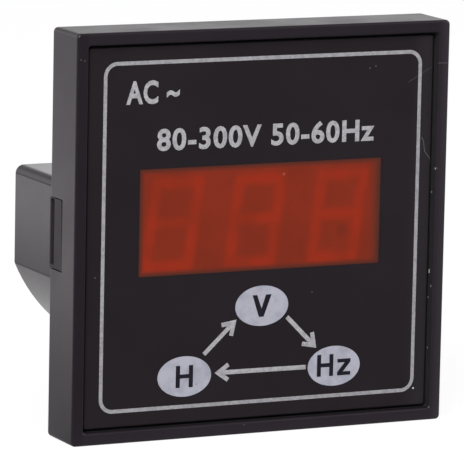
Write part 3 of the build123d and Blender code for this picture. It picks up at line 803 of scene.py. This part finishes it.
def make_world():
    """White surroundings that gloss rays find darker ahead of the object and high above it."""
    world = bpy.data.worlds.new("studio")
    bpy.context.scene.world = world
    world.use_nodes = True
    tree = world.node_tree
    background = tree.nodes["Background"]
    background.inputs["Color"].default_value = (1.0, 1.0, 1.0, 1.0)
    where = tree.nodes.new("ShaderNodeTexCoord")
    split = tree.nodes.new("ShaderNodeSeparateXYZ")
    tree.links.new(where.outputs["Generated"], split.inputs[0])
    above = smooth_range(tree, split.outputs["Z"], bright_until_z, dark_from_z)
    above.inputs["To Min"].default_value = bright_back_level
    above.inputs["To Max"].default_value = dark_above_share
    ramp = smooth_range(tree, split.outputs["Y"], dark_until_y, bright_from_y)
    ramp.inputs["To Min"].default_value = dark_front_level
    tree.links.new(above.outputs[0], ramp.inputs["To Max"])
    strength, _ = studio_strength(tree, ramp, 1.0)
    tree.links.new(strength, background.inputs["Strength"])


def floor_level(finish):
    """What gloss rays find on the floor: brightest beside the object, and even under it."""
    near = finish.span(finish.axis("X"), beside_floor_level, near_floor_level,
                       beside_floor_x, near_floor_x)
    far = finish.span(finish.axis("X"), far_floor_level / beside_floor_level, 1.0,
                      far_floor_x, beside_floor_x)
    beside = finish.span(finish.axis("X"), 1.0, 0.0, under_floor_from_x, under_floor_to_x)
    under = finish.span(finish.axis("X"), 0.0, under_floor_level,
                        under_floor_from_x, under_floor_to_x)
    level = finish.math("MULTIPLY", finish.math("MULTIPLY", near, far), beside)
    return finish.math("MULTIPLY", finish.math("ADD", level, under), bright_back_level)


def floor_finish():
    """A glow in view and for gloss rays, and a matt surface that takes the object's shadow."""
    finish = Finish("floor")
    tree = finish.tree
    finish.set(Base_Color=floor_colour, Roughness=0.9, Specular_IOR_Level=0.0)
    ramp = smooth_range(tree, finish.axis("Y"), -floor_change_y, floor_change_y)
    ramp.inputs["To Min"].default_value = dark_front_level
    tree.links.new(floor_level(finish), ramp.inputs["To Max"])
    strength, path = studio_strength(tree, ramp, floor_white)
    glow = tree.nodes.new("ShaderNodeEmission")
    tree.links.new(strength, glow.inputs["Strength"])
    in_view = finish.math("MULTIPLY", path.outputs["Is Camera Ray"], 1.0 - floor_shadow_share)
    in_gloss = finish.math("MAXIMUM", path.outputs["Is Glossy Ray"],
                           path.outputs["Is Transmission Ray"])
    blend = tree.nodes.new("ShaderNodeMixShader")
    tree.links.new(finish.math("MAXIMUM", in_view, in_gloss), blend.inputs[0])
    tree.links.new(finish.shader.outputs["BSDF"], blend.inputs[1])
    tree.links.new(glow.outputs[0], blend.inputs[2])
    tree.links.new(blend.outputs[0], finish.output.inputs["Surface"])
    return finish


def make_floor():
    """Pale floor that shows white with the object's soft shadow."""
    half = floor_side / 2
    corners = [(x * half, y * half, floor_z) for x, y in ((-1, -1), (1, -1), (1, 1), (-1, 1))]
    mesh = bpy.data.meshes.new("floor")
    mesh.from_pydata(corners, [], [(0, 1, 2, 3)])
    floor = add_object("floor", mesh)
    mesh.materials.append(floor_finish().material)


def on_front(places, y):
    """Points in metres from places X and Z in millimetres and a depth Y."""
    return [(x * mm, y, z * mm) for x, z in places]


def on_right_wall(places):
    """Points in metres from places Y and Z in millimetres on the right wall of the recess."""
    return [(recess_wall_x * mm, y * mm, z * mm) for y, z in places]


def scaled(points):
    return [(x * mm, z * mm) for x, z in points]


def wear_plate(finish):
    # Painted light: paler towards the right of the plate and on its sides in the gap round it; the
    # hairline, scratch and specks below are real wear
    lit_toward_right = finish.span(finish.axis("X"), 0.0, 1.0, plate_right_from, plate_right_to)
    finish.mark(lit_toward_right, 1.0, plate_right_light_tone)
    plate_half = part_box("face_plate")[1].x - plate_side_depth
    finish.mark(finish.beyond_square(plate_half), 1.0, plate_side_light_tone)
    hair = finish.along_line(scaled(hairline), scratch_reach)
    finish.mark(hair, hairline_strength, dust_tone)
    scratch = finish.along_line(scaled(plate_scratch), wide_scratch_reach)
    finish.mark(scratch, plate_scratch_strength, dust_tone)
    specks = finish.at_places(on_front(plate_specks, plate_y), speck_reach)
    finish.mark(specks, plate_speck_strength, dust_tone)
    bright = finish.at_places(on_front(bright_plate_specks, plate_y), bright_speck_reach)
    finish.mark(bright, bright_plate_speck_strength, bright_dust_tone)


def shade_rim(finish):
    """Painted shade makes the left part of the front rim a little darker, and painted light makes the
    right part paler.
    """
    on_rim = finish.span(finish.axis("Y"), 1.0, 0.0, front_y, front_y + rim_reach)
    for tone, start, end in (
        (rim_left_shade_tone, rim_left_from, rim_left_to),
        (rim_right_light_tone, rim_right_from, rim_right_to),
    ):
        share = finish.span(finish.axis("X"), 0.0, 1.0, start, end)
        finish.mark(finish.math("MULTIPLY", share, on_rim), 1.0, tone)


def dust_recess(finish):
    """Painted light on the right wall of the recess and in the gap round the plate, and specks of
    dust on that wall.
    """
    # Painted light on the right wall of the recess
    on_wall = finish.inverse(finish.beyond("X", recess_wall_x * mm, wall_painted_light_half))
    behind_edge = finish.span(finish.axis("Y"), 0.0, 1.0, *wall_painted_light_from)
    above_plate = finish.span(finish.axis("Y"), 1.0, 0.0, *wall_painted_light_to)
    lit_wall = finish.math("MULTIPLY", on_wall, finish.math("MULTIPLY", behind_edge, above_plate))
    finish.mark(lit_wall, 1.0, wall_painted_light_tone)
    # Painted light in the gap round the plate, which lifts the shade there
    deep = finish.span(finish.axis("Y"), 0.0, 1.0, gap_start, gap_end)
    in_gap = finish.math("MULTIPLY", deep, finish.inverse(finish.beyond_square(gap_half)))
    finish.mark(in_gap, 1.0, gap_painted_light_tone)
    for places, strength in (
        (faint_wall_specks, faint_wall_speck_strength),
        (bright_wall_specks, bright_wall_speck_strength),
    ):
        specks = finish.at_places(on_right_wall(places), wall_speck_reach)
        finish.mark(specks, strength, bright_dust_tone)


def wear_frame(finish):
    # Painted light and shade on the rim and in the recess, and real scratches and specks
    shade_rim(finish)
    scratch = finish.along_line(scaled(rim_scratch), scratch_reach)
    finish.mark(scratch, rim_mark_strength, dust_tone)
    places = on_front(rim_specks, front_y)
    places.append(tuple(value * mm for value in skirt_speck))
    finish.mark(finish.at_places(places, speck_reach), rim_mark_strength, dust_tone)
    dust_recess(finish)


def dress_plastic():
    frame_black = moulded("frame_black", frame_tones, frame_roughness, outside_tint)
    frame_black.set(Specular_IOR_Level=frame_specular)
    wear_frame(frame_black)
    dress(frame_black.material, "front_frame")
    plate_black = moulded("plate_black", plate_tones, plate_roughness, outside_tint)
    wear_plate(plate_black)
    dress(plate_black.material, "face_plate")
    case_black = moulded("case_black", case_tones, case_roughness, outside_tint)
    case_black.set(Specular_IOR_Level=case_specular)
    ears = case_black.beyond("X", 0.0, ear_start)
    case_black.mark(ears, 1.0, ear_tone)
    case_black.rougher(ears, ear_extra_roughness)
    dress(case_black.material, "rear_case")


def dress_window():
    window = window_red()
    window_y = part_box("display_window")[0].y
    speck = window.at_places(on_front([window_speck], window_y), window_speck_reach)
    window.mark(speck, window_speck_strength, window_speck_tone)
    stain = window.at_places(on_front([window_stain], window_y), stain_reach)
    window.mark(stain, window_stain_strength, window_stain_tone)
    dress(window.material, "display_window")


def dress_prints_and_lenses():
    silver = silver_ink("silver_ink", silver_tones).material
    thin_silver = silver_ink("silver_ink_line", silver_line_tones).material
    dress(silver, "printed_arrows")
    dress(thin_silver, "printed_border")
    lens = lens_pale()
    speck = lens.at_places(on_front([lens_speck], plate_y), speck_reach)
    lens.mark(speck, lens_speck_strength, lens_speck_tone)
    dress(lens.material, *["indicator_lens_" + name for name in lamps])
    make_words(silver)
    make_units(dark_ink().material)


def dress_display():
    """Reflector block, segments and lamps behind the face."""
    dress(moulded("display_grey", *display_grey).material, "display_block")
    resin = glossy_part("segment_resin", segment_resin).material
    chip_glow = glossy_part("led_white", led_white).material
    for index in (1, 2, 3):
        dress(resin, "digit_segments_" + str(index))
        dress(chip_glow, "digit_leds_" + str(index))
    dress(chip_glow, *["indicator_led_" + name for name in lamps])


def dress_metals():
    tin = metal("terminal_tin", terminal_tin, terminal_marks)
    dress(tin.material, "terminal_left", "terminal_right")
    dress(metal("screw_steel", screw_steel).material, "board_screws")
    dress(metal("can_steel", can_steel, can_marks).material, "crystal")
    dress(metal("pin_gold", pin_gold).material, "header_pins")


def dress_boards():
    """The two boards and the small parts on the front board."""
    dress(circuit_board("board_green_front", "X", "Z").material, "display_board")
    dress(circuit_board("board_green_power", "X", "Y").material, "main_board")
    dress(moulded("header_black", *header_black).material, "header_strip")
    for node, axis in (
        ("microcontroller", "Z"),
        ("memory_chip", "X"),
        ("driver_transistors", "X"),
        ("bridge_rectifier", "X"),
    ):
        dress(chip_black("chip_" + node, node, axis).material, node)


def dress_power_parts():
    """The parts with leads on the power board."""
    board_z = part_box("main_board")[0].z
    for name, values, node in (
        ("film_yellow", film_yellow, "film_capacitor"),
        ("sleeve_blue", sleeve_blue, "electrolytic_capacitor"),
        ("varistor_blue", varistor_blue, "varistor"),
    ):
        dress(stub_leads(glossy_part(name, values), board_z).material, node)
    dress(banded_resistor().material, "divider_resistors")


bpy.context.scene.view_settings.view_transform = "Standard"
dress_plastic()
dress_window()
dress_prints_and_lenses()
dress_display()
dress_metals()
dress_boards()
dress_power_parts()
make_camera()
make_light("key", key_place, key_side, key_power)
make_light("fill", fill_place, fill_side, fill_power)
make_world()
make_floor()
